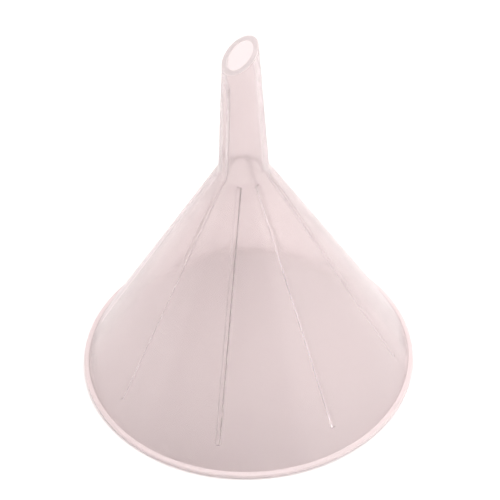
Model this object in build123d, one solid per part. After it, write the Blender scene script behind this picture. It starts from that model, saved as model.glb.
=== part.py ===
from build123d import *
import math
import os

# Conical filling funnel, 100 mm across the rim, moulded in one piece of polypropylene.
# It stands mouth down: +Z is up, the origin is the centre of the rim's rest face.
# The moulding is written as its named regions, which meet face to face.
# The -Y meridian carries the rib inside the stem and the low side of the bevelled tip.
# Lengths are millimetres and angles are degrees.

WALL = 1.5                  # thickness of the cone, neck and stem
RIM_RADIUS = 50.0           # outer radius of the rim bead
RIM_HEIGHT = 1.3            # height of the rim bead
RIM_OVERHANG = 1.3          # how far the bead stands out from the top of the cone's foot
RIM_EDGE = 0.35             # rounding of the bead's two outer edges
CONE_HALF_ANGLE = 30.0      # cone's side, measured from the axis
NECK_RADIUS = 7.1           # where the outer lines of cone and stem would cross
NECK_FILLET = 6.0           # outer radius of the turn from cone to stem
STEM_DRAFT = 3.15           # taper of the stem's side, measured from the axis
TIP_HEIGHT = 111.7          # height of the bevelled tip on the axis
TIP_BEVEL = 38.0            # tilt of the bevel from the horizontal
TIP_EDGE = 0.25             # rounding of the tip's outer edge
RIB_COUNT = 8               # ribs inside the cone
RIB_WIDTH = 1.6             # width of a cone rib where it leaves the wall
RIB_TOP = 0.6               # width of its flat top
RIB_FLANK = 45.0            # slope of its sides, measured from the wall
RIB_EDGE = 0.1              # rounding of its two top edges
RIB_FOOT = 6.7              # height at which the cone ribs start
STEM_RIB_SCALE = 1.3        # how much larger the stem's rib is than the cone's
STEM_RIB_TOP = 104.5        # height at which the stem's rib ends


def polar(angle):
    """Unit vector in the (radius, z) half plane, angle measured from the radius axis."""
    return Vector(math.cos(math.radians(angle)), 0, math.sin(math.radians(angle)))


cone_slope = math.tan(math.radians(CONE_HALF_ANGLE))
stem_slope = math.tan(math.radians(STEM_DRAFT))
foot_radius = RIM_RADIUS - RIM_OVERHANG
neck_height = RIM_HEIGHT + (foot_radius - NECK_RADIUS) / cone_slope
cone_out = polar(CONE_HALF_ANGLE)
stem_out = polar(STEM_DRAFT)
turn_out = polar((CONE_HALF_ANGLE + STEM_DRAFT) / 2)
down_cone = polar(CONE_HALF_ANGLE - 90)
turn_angle = math.radians(CONE_HALF_ANGLE - STEM_DRAFT)
tangent_length = NECK_FILLET * math.tan(turn_angle / 2)
neck_corner = Vector(NECK_RADIUS, 0, neck_height)
turn_centre = neck_corner + down_cone * tangent_length + cone_out * NECK_FILLET


def cone_radius(height, depth=0.0):
    """Radius of the cone at a height, on the surface that lies depth inside the outer one."""
    outer = foot_radius - (height - RIM_HEIGHT) * cone_slope
    return outer - depth / math.cos(math.radians(CONE_HALF_ANGLE))


def stem_radius(height, depth=0.0):
    """Radius of the stem at a height, on the surface that lies depth inside the outer one."""
    outer = NECK_RADIUS - (height - neck_height) * stem_slope
    return outer - depth / math.cos(math.radians(STEM_DRAFT))


def turn_point(outward, depth):
    """Point of the neck's turn in the direction outward, depth inside the outer surface."""
    return turn_centre - outward * (NECK_FILLET + depth)


def turn_arc(depth):
    """Arc of the neck's turn from the cone to the stem, depth inside the outer surface."""
    points = [turn_point(outward, depth) for outward in (cone_out, turn_out, stem_out)]
    return ThreePointArc(*points)


def spin(profile):
    """Solid of revolution about Z of a closed outline in the XZ half plane."""
    return revolve(make_face(profile), Axis.Z)


def outline(*points):
    """Closed outline of straight sides through (radius, height) pairs."""
    return Polyline([(radius, 0, height) for radius, height in points], close=True)


def make_rim_bead():
    """Ring at the mouth, from the cone's inner surface out to the bead's rounded edge."""
    ring = spin(outline(
        (cone_radius(0, WALL), 0),
        (RIM_RADIUS, 0),
        (RIM_RADIUS, RIM_HEIGHT),
        (cone_radius(RIM_HEIGHT, WALL), RIM_HEIGHT),
    ))
    outer_edges = ring.edges().filter_by(GeomType.CIRCLE).group_by(SortBy.RADIUS)[-1]
    return fillet(outer_edges, RIM_EDGE)


def make_cone_wall():
    """Conical wall from the top of the rim bead up to the start of the neck's turn."""
    outer_end = turn_point(cone_out, 0)
    inner_end = turn_point(cone_out, WALL)
    return spin(outline(
        (cone_radius(RIM_HEIGHT, WALL), RIM_HEIGHT),
        (foot_radius, RIM_HEIGHT),
        (outer_end.X, outer_end.Z),
        (inner_end.X, inner_end.Z),
    ))


def make_neck():
    """Short turned ring that carries the cone's wall round into the stem's."""
    outer = turn_arc(0)
    inner = turn_arc(WALL)
    lower = Line(inner @ 0, outer @ 0)
    upper = Line(inner @ 1, outer @ 1)
    return spin(lower + outer + upper + inner)


def beyond_bevel():
    """Block that fills the space past the bevelled tip."""
    size = 4 * RIM_RADIUS
    bevel = Plane((0, 0, TIP_HEIGHT)).rotated((TIP_BEVEL, 0, 0))
    return bevel * Box(size, size, size, align=(Align.CENTER, Align.CENTER, Align.MIN))


def make_stem_tube():
    """Tapered tube from the neck up to the bevelled tip."""
    top = TIP_HEIGHT + NECK_RADIUS
    outer_start = turn_point(stem_out, 0)
    inner_start = turn_point(stem_out, WALL)
    tube = spin(outline(
        (inner_start.X, inner_start.Z),
        (outer_start.X, outer_start.Z),
        (stem_radius(top), top),
        (stem_radius(top, WALL), top),
    ))
    tube = tube - beyond_bevel()
    tip_face = tube.faces().sort_by(Axis.Z)[-1]
    return fillet(tip_face.outer_wire().edges(), TIP_EDGE)


def bore():
    """Space inside the inner surface, from the mouth up past the tip."""
    top = TIP_HEIGHT + NECK_RADIUS
    turn = turn_arc(WALL)
    cone_side = Polyline([(0, 0, 0), (cone_radius(0, WALL), 0, 0), turn @ 0])
    stem_side = Polyline([turn @ 1, (stem_radius(top, WALL), 0, top), (0, 0, top), (0, 0, 0)])
    return spin(cone_side + turn + stem_side)


def make_rib(path, scale, angle):
    """Rib of trapezoid section along a path up the inner surface, turned about Z from -Y."""
    half = RIB_WIDTH / 2 * scale
    half_top = RIB_TOP / 2 * scale
    height = (half - half_top) * math.tan(math.radians(RIB_FLANK))
    corners = [(-half, 0), (-half_top, height), (half_top, height), (half, 0)]
    section = make_face(Polyline(corners, close=True))
    section = fillet(section.vertices().group_by(Axis.Y)[-1], RIB_EDGE * scale)
    across = Plane(path @ 0, x_dir=(0, 1, 0), z_dir=path % 0)
    return Rot(0, 0, angle - 90) * (sweep(across * section, path) & bore())


def make_cone_rib(angle):
    """Rib along the inside of the cone, from above the mouth to the neck."""
    foot = (cone_radius(RIB_FOOT, WALL), 0, RIB_FOOT)
    return make_rib(Line(foot, turn_arc(WALL) @ 0), 1, angle)


def make_stem_rib():
    """Larger rib along the inside of the neck and stem, in line with the first cone rib."""
    turn = turn_arc(WALL)
    top = (stem_radius(STEM_RIB_TOP, WALL), 0, STEM_RIB_TOP)
    return make_rib(turn + Line(turn @ 1, top), STEM_RIB_SCALE, 0)


def make_nodes():
    """Every node of the funnel by name."""
    nodes = {
        "rim_bead": make_rim_bead(),
        "cone_wall": make_cone_wall(),
        "neck": make_neck(),
        "stem_tube": make_stem_tube(),
        "stem_rib": make_stem_rib(),
    }
    for number in range(RIB_COUNT):
        nodes[f"cone_rib_{number + 1}"] = make_cone_rib(number * 360 / RIB_COUNT)
    return nodes


os.makedirs("parts", exist_ok=True)
for name, solid in make_nodes().items():
    solid.label = name
    export_step(solid, f"parts/{name}.step")
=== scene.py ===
import math

import bpy
import numpy as np
from mathutils import Matrix, Vector


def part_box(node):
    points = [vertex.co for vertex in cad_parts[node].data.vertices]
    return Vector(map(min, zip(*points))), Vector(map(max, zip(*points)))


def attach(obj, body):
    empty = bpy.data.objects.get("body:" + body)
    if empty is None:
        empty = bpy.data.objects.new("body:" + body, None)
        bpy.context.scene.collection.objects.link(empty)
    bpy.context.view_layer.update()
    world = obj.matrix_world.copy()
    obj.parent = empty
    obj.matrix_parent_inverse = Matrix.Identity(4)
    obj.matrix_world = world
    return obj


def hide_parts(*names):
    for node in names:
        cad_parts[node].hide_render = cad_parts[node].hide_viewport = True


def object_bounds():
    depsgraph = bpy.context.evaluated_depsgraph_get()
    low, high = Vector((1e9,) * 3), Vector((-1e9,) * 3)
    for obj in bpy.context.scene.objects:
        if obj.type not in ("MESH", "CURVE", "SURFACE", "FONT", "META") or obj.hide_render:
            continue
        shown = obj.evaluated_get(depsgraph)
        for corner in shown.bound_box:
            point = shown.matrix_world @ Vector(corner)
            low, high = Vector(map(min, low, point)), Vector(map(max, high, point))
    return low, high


# A conical filling funnel in translucent polypropylene, stood mouth down on a pale floor.
# The real funnel is one moulding, so one continuous skin stands for all of its CAD regions.
# The skin is a closed grid: rows follow the wall's section from the rim up the outside, over
# the tip and down the inside, and columns follow the ribs round the axis.
# Lengths are millimetres until the mesh is made, and angles are degrees unless said.

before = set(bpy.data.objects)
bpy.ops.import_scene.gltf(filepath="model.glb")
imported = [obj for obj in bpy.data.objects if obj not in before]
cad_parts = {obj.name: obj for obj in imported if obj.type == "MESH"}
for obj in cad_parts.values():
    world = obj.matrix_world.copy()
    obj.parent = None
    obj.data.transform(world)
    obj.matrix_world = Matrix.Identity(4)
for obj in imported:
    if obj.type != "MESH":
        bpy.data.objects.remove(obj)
cad_low, cad_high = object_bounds()

MM = 0.001
BODY = "root"


def node_box(node):
    """Lowest and highest corner of a CAD node in millimetres."""
    low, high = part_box(node)
    return low / MM, high / MM


# Driving dimensions. What the frame can give is read from it, and the rest is named here.
rim_high = node_box("rim_bead")[1]
wall_high = node_box("cone_wall")[1]
RIM_RADIUS = rim_high.x
RIM_HEIGHT = rim_high.z
FOOT_RADIUS = wall_high.x       # outer radius of the cone where it leaves the bead
RIB_COUNT = sum(name.startswith("cone_rib_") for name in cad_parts)
STEM_RIB_TOP = node_box("stem_rib")[1].z
WALL = 1.5                      # thickness of the cone, neck and stem
CONE_HALF_ANGLE = 30.0          # cone's side, measured from the axis
NECK_RADIUS = 7.1               # where the outer lines of cone and stem would cross
NECK_FILLET = 6.0               # outer radius of the turn from cone to stem
STEM_DRAFT = 3.15               # taper of the stem's side, measured from the axis
TIP_HEIGHT = 111.7              # height of the bevelled tip on the axis
TIP_BEVEL = 38.0                # tilt of the bevel from the horizontal
RIB_WIDTH = 1.6                 # width of a cone rib where it leaves the wall
RIB_TOP = 0.6                   # width of its flat top
RIB_FLANK = 45.0                # slope of its sides, measured from the wall
RIB_FOOT = 6.7                  # height at which the cone ribs start
STEM_RIB_SCALE = 1.3            # how much larger the stem's rib is than the cone's

# Roundings of the moulded edges, and the ends of the ribs.
RIM_EDGE = 0.35                 # the bead's two outer edges
MOUTH_EDGE = 0.3                # the mouth's inner edge
BEAD_CORNER = 0.3               # the corner between the bead and the cone
TIP_EDGE = 0.25                 # both edges of the tip
RIB_EDGE = 0.1                  # the top edges of a rib
RIB_CORNER = 0.12               # the corner between a rib and the wall
RIB_END = 0.4                   # length of a cone rib's rounded end
STEM_RIB_END = 8.0              # length over which the stem's rib fades out
TIP_START = 105.5               # height from which the stem's rows lean towards the bevel

# How finely the skin is divided.
ARC_STEPS = 5                   # along a rounded edge
END_STEPS = 10                  # along the end of a rib
CONE_STEPS = 12
NECK_STEPS = 10
STEM_STEPS = 8
TIP_STEPS = 6                   # up to the bevel
BORE_STEPS = 2                  # from the tip to the stem's rib
MOUTH_STEPS = 4                 # from the foot of the cone ribs to the mouth
PANEL_STEPS = 24                # between two ribs
FLAT_SHARES = (0.1, 0.5, 0.9)   # where the points on a rib's flat faces lie

# The camera, and where it stands round the axis and above the horizon.
VIEW_AZIMUTH = 57.3
VIEW_ELEVATION = 41.9
VIEW_ROLL = -1.4
VIEW_DISTANCE = 537.4
VIEW_RIGHT = 1.18
VIEW_UP = 31.6
VIEW_LENS = 126.8
VIEW_NEAR = 10

# The light tent, white but for a dimmer opening and a dark patch beyond the opening.
SKY_STRENGTH = 1.12
OPENING_STRENGTH = 0.3
OPENING_AZIMUTH = 40.8
OPENING_HALF = 49.5             # half the opening's width
OPENING_EDGE = 1.5              # half the width of its soft edge
PATCH_SHARE = 0.0               # share of the light that the patch keeps
PATCH_AZIMUTH = 39.3
PATCH_ELEVATION = 13
PATCH_HALF = 16
PATCH_EDGE = 1.5
TOP_GAIN = 1.8                  # extra light from overhead
TOP_LOW = 50                    # elevation at which it starts
TOP_HIGH = 70                   # elevation from which it is whole
BRIGHT_AZIMUTH = 130            # the tent's brighter side
BRIGHT_SHARE = 0.22             # how much brighter it is than the middle
LIGHT_COLOUR = (1, 0.93, 0.93, 1)

# The soft light on the right.
KEY_AZIMUTH = VIEW_AZIMUTH + 60
KEY_ELEVATION = 50
KEY_DISTANCE = 800
KEY_SIZE = 500
KEY_POWER = 0.5                 # watts

# The floor.
FLOOR_COLOUR = (0.93, 0.93, 0.93, 1)
FLOOR_ROUGHNESS = 0.9
FLOOR_SPAN = 40                 # its side, in heights of the funnel
FLOOR_DROP = 0.2                # gap under the rim, so that the two faces don't meet

# The plastic. Each pair of colours is mixed by a soft cloud through the moulding.
WALL_TINTS = ((0.98, 0.925, 0.925, 1), (0.99, 0.94, 0.94, 1))
EDGE_TINTS = ((0.95, 0.87, 0.87, 1), (0.96, 0.885, 0.885, 1))
# Painted shade: the stem's plastic gets a deeper tint so that it renders darker than the cone.
STEM_SHADE_TINT = (0.92, 0.87, 0.87, 1)
STEM_SHADE_LOW = 60              # height at which the painted shade up the stem starts
STEM_SHADE_HIGH = 76             # height from which it is whole
CLOUD_SCALE = 30                # noise cells in a metre
SATIN_SCALE = 60
NOISE_DETAIL = 3
NOISE_RANGE = (0.35, 0.65)      # the part of the noise's range that is used
SATIN = (0.15, 0.19)            # least and most roughness of the moulded skin
REFRACTION = 1.49
HAZE = 0.12                     # share of light that the plastic scatters
WALL_CLARITY = 0.92             # share of the rest that passes straight through
BEAD_CLARITY = 0.35
TIP_CLARITY = 0.4


# ---------------------------------------------------------------- section of the wall

def unit(angle):
    """Unit vector in the (radius, height) plane, angle measured from the radius axis."""
    return np.array([math.cos(math.radians(angle)), math.sin(math.radians(angle))])


def between(start, end, steps):
    """Evenly spaced points from start up to but not including end."""
    shares = np.arange(steps)[:, None] / steps
    return list(start + (end - start) * shares)


def rounded(before, corner, after, radius):
    """Points of the arc of that radius that rounds a corner, both tangent points included."""
    towards = (before - corner) / np.linalg.norm(before - corner)
    away = (after - corner) / np.linalg.norm(after - corner)
    half = math.acos(np.clip(towards @ away, -1, 1)) / 2
    reach = radius / math.tan(half)
    middle = towards + away
    centre = corner + middle / np.linalg.norm(middle) * radius / math.sin(half)
    first = corner + towards * reach - centre
    last = corner + away * reach - centre
    sweep = math.pi - 2 * half
    shares = np.arange(ARC_STEPS + 1) / ARC_STEPS
    weights = [(math.sin((1 - t) * sweep), math.sin(t * sweep)) for t in shares]
    return [centre + (a * first + b * last) / math.sin(sweep) for a, b in weights]


cone_out = unit(CONE_HALF_ANGLE)
stem_out = unit(STEM_DRAFT)
up_cone = unit(CONE_HALF_ANGLE + 90)
up_stem = unit(STEM_DRAFT + 90)
cone_height = (FOOT_RADIUS - NECK_RADIUS) / math.tan(math.radians(CONE_HALF_ANGLE))
neck_corner = np.array([NECK_RADIUS, RIM_HEIGHT + cone_height])
turn_angle = CONE_HALF_ANGLE - STEM_DRAFT
tangent_length = NECK_FILLET * math.tan(math.radians(turn_angle) / 2)
turn_centre = neck_corner - up_cone * tangent_length + cone_out * NECK_FILLET


def turn_point(share, depth):
    """Point of the neck's turn, from the cone at share 0 to the stem at share 1."""
    angle = CONE_HALF_ANGLE - turn_angle * share
    return turn_centre - unit(angle) * (NECK_FILLET + depth)


def cone_point(height, depth):
    """Point of the cone's side at a height, on the surface depth inside the outer one."""
    start = turn_point(0, depth)
    return start + up_cone * (height - start[1]) / up_cone[1]


def stem_point(height, depth):
    """Point of the stem's side at a height, on the surface depth inside the outer one."""
    start = turn_point(1, depth)
    return start + up_stem * (height - start[1]) / up_stem[1]


def bevel_point(depth, meridian):
    """Where the stem's side meets the bevelled tip, at an angle in radians from -Y."""
    slope = -math.tan(math.radians(TIP_BEVEL)) * math.cos(meridian)
    start = turn_point(1, depth)
    rise = TIP_HEIGHT + slope * start[0] - start[1]
    return start + up_stem * rise / (up_stem[1] - slope * up_stem[0])


def rim_points():
    """Section of the bead: rest face, outer edges, top face and the corner to the cone."""
    mouth = cone_point(0, WALL)
    lower = np.array([RIM_RADIUS, 0])
    upper = np.array([RIM_RADIUS, RIM_HEIGHT])
    corner = cone_point(RIM_HEIGHT, 0)
    points = rounded(mouth + up_cone, mouth, lower, MOUTH_EDGE)
    points += rounded(mouth, lower, upper, RIM_EDGE)
    points += rounded(lower, upper, corner, RIM_EDGE)
    points += rounded(upper, corner, corner + up_cone, BEAD_CORNER)
    return points


def tip_points(meridian):
    """Section of the bevelled tip on one meridian, rounded outside and inside."""
    outer = bevel_point(0, meridian)
    inner = bevel_point(WALL, meridian)
    points = rounded(outer - up_stem, outer, inner, TIP_EDGE)
    points += rounded(outer, inner, inner - up_stem, TIP_EDGE)
    return points


# ---------------------------------------------------------------- rows of the skin

WALL_PART, BEAD_PART, TIP_PART = range(3)


def strip(points, inward=(0.0, 0.0), cone_rib=0.0, stem_rib=0.0, part=WALL_PART):
    """Rows of the grid: radius, height, inward normal, the share of its height that each kind
    of rib has, and which part of the moulding the faces that start there belong to."""
    rows = np.zeros((len(points), 7))
    rows[:, 0:2] = points
    rows[:, 2:4] = inward
    rows[:, 4] = cone_rib
    rows[:, 5] = stem_rib
    rows[:, 6] = part
    return rows


def rib_end(start, direction, length):
    """Points along a rib's end, closer together near its two ends, and how far along they are."""
    travel = (1 - np.cos(np.linspace(0, math.pi, END_STEPS + 1))) / 2
    return start + np.outer(travel, direction) * length, travel


def rising(travel):
    """Share of its height that a rib has along the end where it starts."""
    return np.sqrt(travel * (2 - travel))


def falling(travel):
    """Share of its height that a rib has along the end where it stops."""
    return np.sqrt(1 - travel ** 2)


def outside_rows():
    """From the mouth's inner edge round the bead and up to below the tip."""
    bead = rim_points()
    turn = [turn_point(step / NECK_STEPS, 0) for step in range(NECK_STEPS)]
    points = between(bead[-1], turn[0], CONE_STEPS) + turn
    points += between(turn_point(1, 0), stem_point(TIP_START, 0), STEM_STEPS)
    return np.concatenate([strip(bead[:-1], part=BEAD_PART), strip(points)])


def tip_rows(meridian):
    """From the straight stem over the bevelled tip and back to the straight bore."""
    points = tip_points(meridian)
    rise = between(stem_point(TIP_START, 0), points[0], TIP_STEPS)
    fall = between(points[-1], stem_point(TIP_START, WALL), TIP_STEPS)
    return np.concatenate([strip(rise), strip(points[:-1], part=TIP_PART), strip(fall)])


def bore_rows():
    """From below the tip down the stem and the neck, with the stem's rib on the way."""
    top, top_travel = rib_end(stem_point(STEM_RIB_TOP, WALL), -up_stem, STEM_RIB_END)
    turns = [1 - step / NECK_STEPS for step in range(NECK_STEPS)]
    neck = [turn_point(share, WALL) for share in turns]
    neck_inward = [-unit(CONE_HALF_ANGLE - turn_angle * share) for share in turns]
    return np.concatenate([
        strip(between(stem_point(TIP_START, WALL), top[0], BORE_STEPS)),
        strip(top, -stem_out, stem_rib=top_travel),
        strip(between(top[-1], neck[0], STEM_STEPS)[1:], -stem_out, stem_rib=1),
        strip(neck, neck_inward, stem_rib=1),
    ])


def cone_rows():
    """From the neck down the inside of the cone to the mouth, with the cone ribs on the way."""
    start, start_travel = rib_end(turn_point(0, WALL), -up_cone, RIB_END)
    foot_start = cone_point(RIB_FOOT, WALL) + up_cone * RIB_END
    foot, foot_travel = rib_end(foot_start, -up_cone, RIB_END)
    middle = between(start[-1], foot[0], CONE_STEPS)[1:]
    return np.concatenate([
        strip(start, -cone_out, rising(start_travel), falling(start_travel)),
        strip(middle, -cone_out, cone_rib=1),
        strip(foot, -cone_out, cone_rib=falling(foot_travel)),
        strip(between(foot[-1], rim_points()[0], MOUTH_STEPS)[1:]),
    ])


# ---------------------------------------------------------------- columns of the skin

def rib_section():
    """Half of a rib's cross-section: sideways offset, and height above the wall."""
    height = (RIB_WIDTH - RIB_TOP) / 2 * math.tan(math.radians(RIB_FLANK))
    middle = np.array([0, height])
    edge = np.array([RIB_TOP / 2, height])
    root = np.array([RIB_WIDTH / 2, 0])
    top_edge = rounded(middle, edge, root, RIB_EDGE)
    corner = rounded(edge, root, 2 * root, RIB_CORNER)
    top = [middle + (top_edge[0] - middle) * share for share in (0, *FLAT_SHARES)]
    side = [top_edge[-1] + (corner[0] - top_edge[-1]) * share for share in FLAT_SHARES]
    return np.array(top + top_edge + side + corner)


def sector_columns():
    """Columns of one sector: side, sideways offset, rib height and share of the panel."""
    section = rib_section()
    panel = np.arange(1, PANEL_STEPS + 1) / PANEL_STEPS
    right = [(1, offset, height, 0.0) for offset, height in section]
    right += [(1, section[-1, 0], 0.0, share) for share in panel]
    left = [(-1, offset, height, share) for _, offset, height, share in right[1:-1]]
    return np.array(left[::-1] + right)


def skin_points(rows, columns, sector):
    """Points of one sector's columns on rows that don't depend on the meridian."""
    side, offset, height, panel = (columns[:, k][None, :] for k in range(4))
    cone_rib = rows[:, 4:5]
    stem_rib = rows[:, 5:6] * (sector == 0)
    scale = np.where(stem_rib > 0, STEM_RIB_SCALE, 1)
    lift = np.maximum(cone_rib, stem_rib * STEM_RIB_SCALE) * height
    radius = rows[:, 0:1] + lift * rows[:, 2:3]
    level = rows[:, 1:2] + lift * rows[:, 3:4]
    return radius, level, column_angles(radius, side, offset * scale, panel, sector)


def column_angles(radius, side, offset, panel, sector):
    """Angle from -Y of each column, where it runs beside the sector's rib or on its panel."""
    spread = math.pi / RIB_COUNT
    beside = np.arcsin(offset / radius)
    return sector * 2 * spread + side * (beside + (spread - beside) * panel)


def place(radius, level, angle):
    """Points in metres from radius, height and angle from -Y."""
    return np.stack([radius * np.sin(angle), -radius * np.cos(angle), level], -1) * MM


def make_sector(number, columns, outside, inside):
    """Grid of points of one sector, and the part that each of its rows belongs to."""
    side, offset, _, panel = columns.T
    stem_radius = stem_point(TIP_START, 0)[0]
    meridians = column_angles(stem_radius, side, offset, panel, number)
    tip = np.stack([tip_rows(meridian) for meridian in meridians], axis=1)
    grid = np.concatenate([
        place(*skin_points(outside, columns, number)),
        place(tip[..., 0], tip[..., 1], meridians),
        place(*skin_points(inside, columns, number)),
    ])
    parts = np.concatenate([outside[:, 6], tip[:, 0, 6], inside[:, 6]])
    return grid, parts


def make_skin():
    """The whole moulding as one closed mesh, with its wall, bead and tip in three plastics."""
    columns = sector_columns()
    outside = outside_rows()
    inside = np.concatenate([bore_rows(), cone_rows()])
    sectors = [make_sector(number, columns, outside, inside) for number in range(RIB_COUNT)]
    grid = np.concatenate([points for points, _ in sectors], axis=1)
    piece = mesh_of(grid)
    piece.data.materials.append(make_plastic("wall", WALL_CLARITY, WALL_TINTS))
    piece.data.materials.append(make_plastic("bead", BEAD_CLARITY, EDGE_TINTS))
    piece.data.materials.append(make_plastic("tip", TIP_CLARITY, EDGE_TINTS))
    kinds = np.repeat(sectors[0][1].astype(int), grid.shape[1])
    piece.data.polygons.foreach_set("material_index", kinds)
    return piece


def mesh_of(grid):
    """A closed mesh from a grid of points that joins up with itself both ways."""
    row_count, column_count = grid.shape[:2]
    index = np.arange(row_count * column_count).reshape(row_count, column_count)
    across = np.roll(index, -1, axis=1)
    up = np.roll(index, -1, axis=0)
    both = np.roll(across, -1, axis=0)
    faces = np.stack([index, across, both, up], -1).reshape(-1, 4)
    mesh = bpy.data.meshes.new("funnel_moulding")
    mesh.from_pydata(grid.reshape(-1, 3).tolist(), [], faces.tolist())
    mesh.shade_smooth()
    piece = bpy.data.objects.new("funnel_moulding", mesh)
    bpy.context.scene.collection.objects.link(piece)
    return piece


# ---------------------------------------------------------------- shader nodes

def math_node(tree, operation, first, second=None):
    """A math node on one socket, and on a number or a second socket."""
    node = tree.nodes.new("ShaderNodeMath")
    node.operation = operation
    tree.links.new(first, node.inputs[0])
    if isinstance(second, bpy.types.NodeSocket):
        tree.links.new(second, node.inputs[1])
    elif second is not None:
        node.inputs[1].default_value = second
    return node.outputs["Value"]


def split_axes(tree, vector):
    """The X, Y and Z of a vector."""
    node = tree.nodes.new("ShaderNodeSeparateXYZ")
    tree.links.new(vector, node.inputs["Vector"])
    return node.outputs


def spread_over(tree, source, low, high, start, end):
    """A number that runs from low to high while the source runs from start to end."""
    node = tree.nodes.new("ShaderNodeMapRange")
    node.interpolation_type = "SMOOTHSTEP"
    node.inputs["From Min"].default_value = start
    node.inputs["From Max"].default_value = end
    node.inputs["To Min"].default_value = low
    node.inputs["To Max"].default_value = high
    tree.links.new(source, node.inputs["Value"])
    return node.outputs["Result"]


def noise(tree, position, scale, low, high):
    """Soft noise over a position, from low to high."""
    node = tree.nodes.new("ShaderNodeTexNoise")
    node.inputs["Scale"].default_value = scale
    node.inputs["Detail"].default_value = NOISE_DETAIL
    tree.links.new(position, node.inputs["Vector"])
    return spread_over(tree, node.outputs["Fac"], low, high, *NOISE_RANGE)


def blend_colours(tree, share, low, high):
    """Colour between low and high, each of them a colour or a socket."""
    node = tree.nodes.new("ShaderNodeMix")
    node.data_type = "RGBA"
    tree.links.new(share, node.inputs["Factor"])
    for name, colour in (("A", low), ("B", high)):
        if isinstance(colour, bpy.types.NodeSocket):
            tree.links.new(colour, node.inputs[name])
        else:
            node.inputs[name].default_value = colour
    return node.outputs["Result"]


def facing(tree, direction, azimuth, elevation):
    """Cosine of the angle between a direction and the one towards azimuth and elevation."""
    node = tree.nodes.new("ShaderNodeVectorMath")
    node.operation = "DOT_PRODUCT"
    node.inputs[1].default_value = direction_of(azimuth, elevation)
    tree.links.new(direction, node.inputs[0])
    return node.outputs["Value"]


# ---------------------------------------------------------------- materials

def new_material(name):
    """A node material with its Principled shader."""
    material = bpy.data.materials.new(name)
    material.use_nodes = True
    shader = material.node_tree.nodes["Principled BSDF"]
    return material, material.node_tree, shader


def tint_with_stem_shade(tree, position, tints):
    """Cloudy colour of the plastic, with painted shade that darkens it up the stem."""
    height = split_axes(tree, position)["Z"]
    low, high = STEM_SHADE_LOW * MM, STEM_SHADE_HIGH * MM
    stem_shade_share = spread_over(tree, height, 0, 1, low, high)
    cloudy = blend_colours(tree, noise(tree, position, CLOUD_SCALE, 0, 1), *tints)
    return blend_colours(tree, stem_shade_share, cloudy, STEM_SHADE_TINT)


def make_plastic(name, clarity, tints):
    """Natural polypropylene: see-through, with a milky haze and a satin moulded skin."""
    material, tree, shader = new_material(f"natural_polypropylene_{name}")
    position = tree.nodes.new("ShaderNodeTexCoord").outputs["Object"]
    # The plastic's cloudy colour, with painted shade up the stem, feeds both the surface and the
    # haze.
    tint_and_shade = tint_with_stem_shade(tree, position, tints)
    tree.links.new(tint_and_shade, shader.inputs["Base Color"])
    tree.links.new(noise(tree, position, SATIN_SCALE, *SATIN), shader.inputs["Roughness"])
    shader.inputs["Transmission Weight"].default_value = clarity
    shader.inputs["IOR"].default_value = REFRACTION
    haze = tree.nodes.new("ShaderNodeBsdfTranslucent")
    tree.links.new(tint_and_shade, haze.inputs["Color"])
    mix = tree.nodes.new("ShaderNodeMixShader")
    mix.inputs["Fac"].default_value = HAZE
    tree.links.new(shader.outputs["BSDF"], mix.inputs[1])
    tree.links.new(haze.outputs["BSDF"], mix.inputs[2])
    tree.links.new(mix.outputs["Shader"], tree.nodes["Material Output"].inputs["Surface"])
    return material


def make_floor():
    """Pale matte floor, wide enough for every view."""
    material, _, shader = new_material("pale_floor")
    shader.inputs["Base Color"].default_value = FLOOR_COLOUR
    shader.inputs["Roughness"].default_value = FLOOR_ROUGHNESS
    size = FLOOR_SPAN * (cad_high.z - cad_low.z)
    bpy.ops.mesh.primitive_plane_add(size=size, location=(0, 0, -FLOOR_DROP * MM))
    floor = bpy.context.object
    floor.name = "floor"
    floor.data.materials.append(material)


# ---------------------------------------------------------------- camera and light

def direction_of(azimuth, elevation):
    """Unit vector towards an azimuth from -Y towards +X and a height above the horizon."""
    around = math.radians(azimuth)
    rise = math.radians(elevation)
    level = math.cos(rise)
    return Vector((math.sin(around) * level, -math.cos(around) * level, math.sin(rise)))


def make_camera():
    """Camera at the chosen view, aimed past the axis by small shifts of its own position."""
    azimuth = math.radians(VIEW_AZIMUTH)
    roll = math.radians(VIEW_ROLL)
    right = Vector((math.cos(azimuth), math.sin(azimuth), 0))
    back = direction_of(VIEW_AZIMUTH, VIEW_ELEVATION)
    up = back.cross(right)
    stand = (right * VIEW_RIGHT + up * VIEW_UP + back * VIEW_DISTANCE) * MM
    side = right * math.cos(roll) + up * math.sin(roll)
    top = up * math.cos(roll) - right * math.sin(roll)
    turned = Matrix((side, top, back)).transposed().to_4x4()
    camera = bpy.data.objects.new("camera", bpy.data.cameras.new("camera"))
    camera.data.lens = VIEW_LENS
    camera.data.clip_start = VIEW_NEAR * MM
    camera.matrix_world = Matrix.Translation(stand) @ turned
    bpy.context.scene.collection.objects.link(camera)
    bpy.context.scene.camera = camera


def make_key_light():
    """Square area light on the right that faces the middle of the funnel."""
    light = bpy.data.lights.new("soft_key", "AREA")
    light.energy = KEY_POWER
    light.size = KEY_SIZE * MM
    lamp = bpy.data.objects.new("soft_key", light)
    back = direction_of(KEY_AZIMUTH, KEY_ELEVATION)
    lamp.location = (cad_low + cad_high) / 2 + back * KEY_DISTANCE * MM
    lamp.rotation_euler = back.to_track_quat("Z", "Y").to_euler()
    bpy.context.scene.collection.objects.link(lamp)


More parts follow.
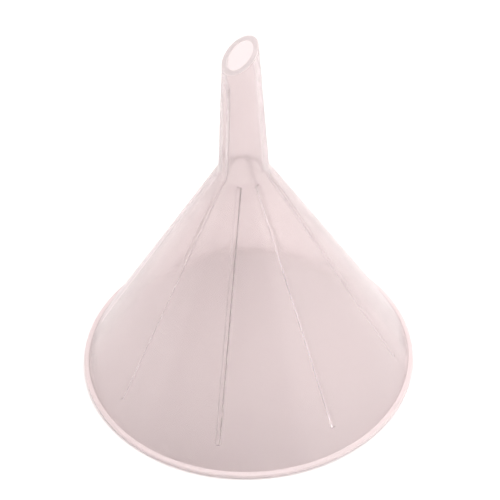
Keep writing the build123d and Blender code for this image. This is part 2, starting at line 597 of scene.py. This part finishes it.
def tent_walls(tree, direction):
    """White walls with a dimmer opening, and brighter on one side."""
    axes = split_axes(tree, direction)
    flip = math_node(tree, "MULTIPLY", axes["Y"], -1)
    around = math_node(tree, "ARCTAN2", axes["X"], flip)
    off = math_node(tree, "SUBTRACT", around, math.radians(OPENING_AZIMUTH))
    away = math_node(tree, "ABSOLUTE", off)
    start = math.radians(OPENING_HALF - OPENING_EDGE)
    end = math.radians(OPENING_HALF + OPENING_EDGE)
    walls = spread_over(tree, away, OPENING_STRENGTH, SKY_STRENGTH, start, end)
    towards_bright = facing(tree, direction, BRIGHT_AZIMUTH, 0)
    bright_side = spread_over(tree, towards_bright, 1 - BRIGHT_SHARE, 1 + BRIGHT_SHARE, -1, 1)
    return math_node(tree, "MULTIPLY", walls, bright_side)


def tent_top(tree, direction):
    """Extra light from overhead."""
    start = math.sin(math.radians(TOP_LOW))
    end = math.sin(math.radians(TOP_HIGH))
    return spread_over(tree, split_axes(tree, direction)["Z"], 0, TOP_GAIN, start, end)


def dark_patch(tree, direction):
    """Share of the light that is left, least in the dark patch."""
    towards = facing(tree, direction, PATCH_AZIMUTH, PATCH_ELEVATION)
    start = math.cos(math.radians(PATCH_HALF + PATCH_EDGE))
    end = math.cos(math.radians(PATCH_HALF - PATCH_EDGE))
    return spread_over(tree, towards, 1, PATCH_SHARE, start, end)


def make_tent():
    """The surroundings: a light tent, seen directly only as a plain white backdrop."""
    world = bpy.data.worlds.new("light_tent")
    world.use_nodes = True
    tree = world.node_tree
    direction = tree.nodes.new("ShaderNodeTexCoord").outputs["Generated"]
    tent = math_node(tree, "ADD", tent_walls(tree, direction), tent_top(tree, direction))
    lit = math_node(tree, "MULTIPLY", tent, dark_patch(tree, direction))
    seen = tree.nodes.new("ShaderNodeLightPath").outputs["Is Camera Ray"]
    backdrop = math_node(tree, "MULTIPLY", seen, SKY_STRENGTH)
    background = tree.nodes["Background"]
    background.inputs["Color"].default_value = LIGHT_COLOUR
    tree.links.new(math_node(tree, "MAXIMUM", lit, backdrop), background.inputs["Strength"])
    bpy.context.scene.world = world


# ---------------------------------------------------------------- making

make_camera()
make_tent()
make_key_light()
bpy.context.scene.view_settings.view_transform = "Standard"
make_floor()
moulding = make_skin()
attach(moulding, BODY)
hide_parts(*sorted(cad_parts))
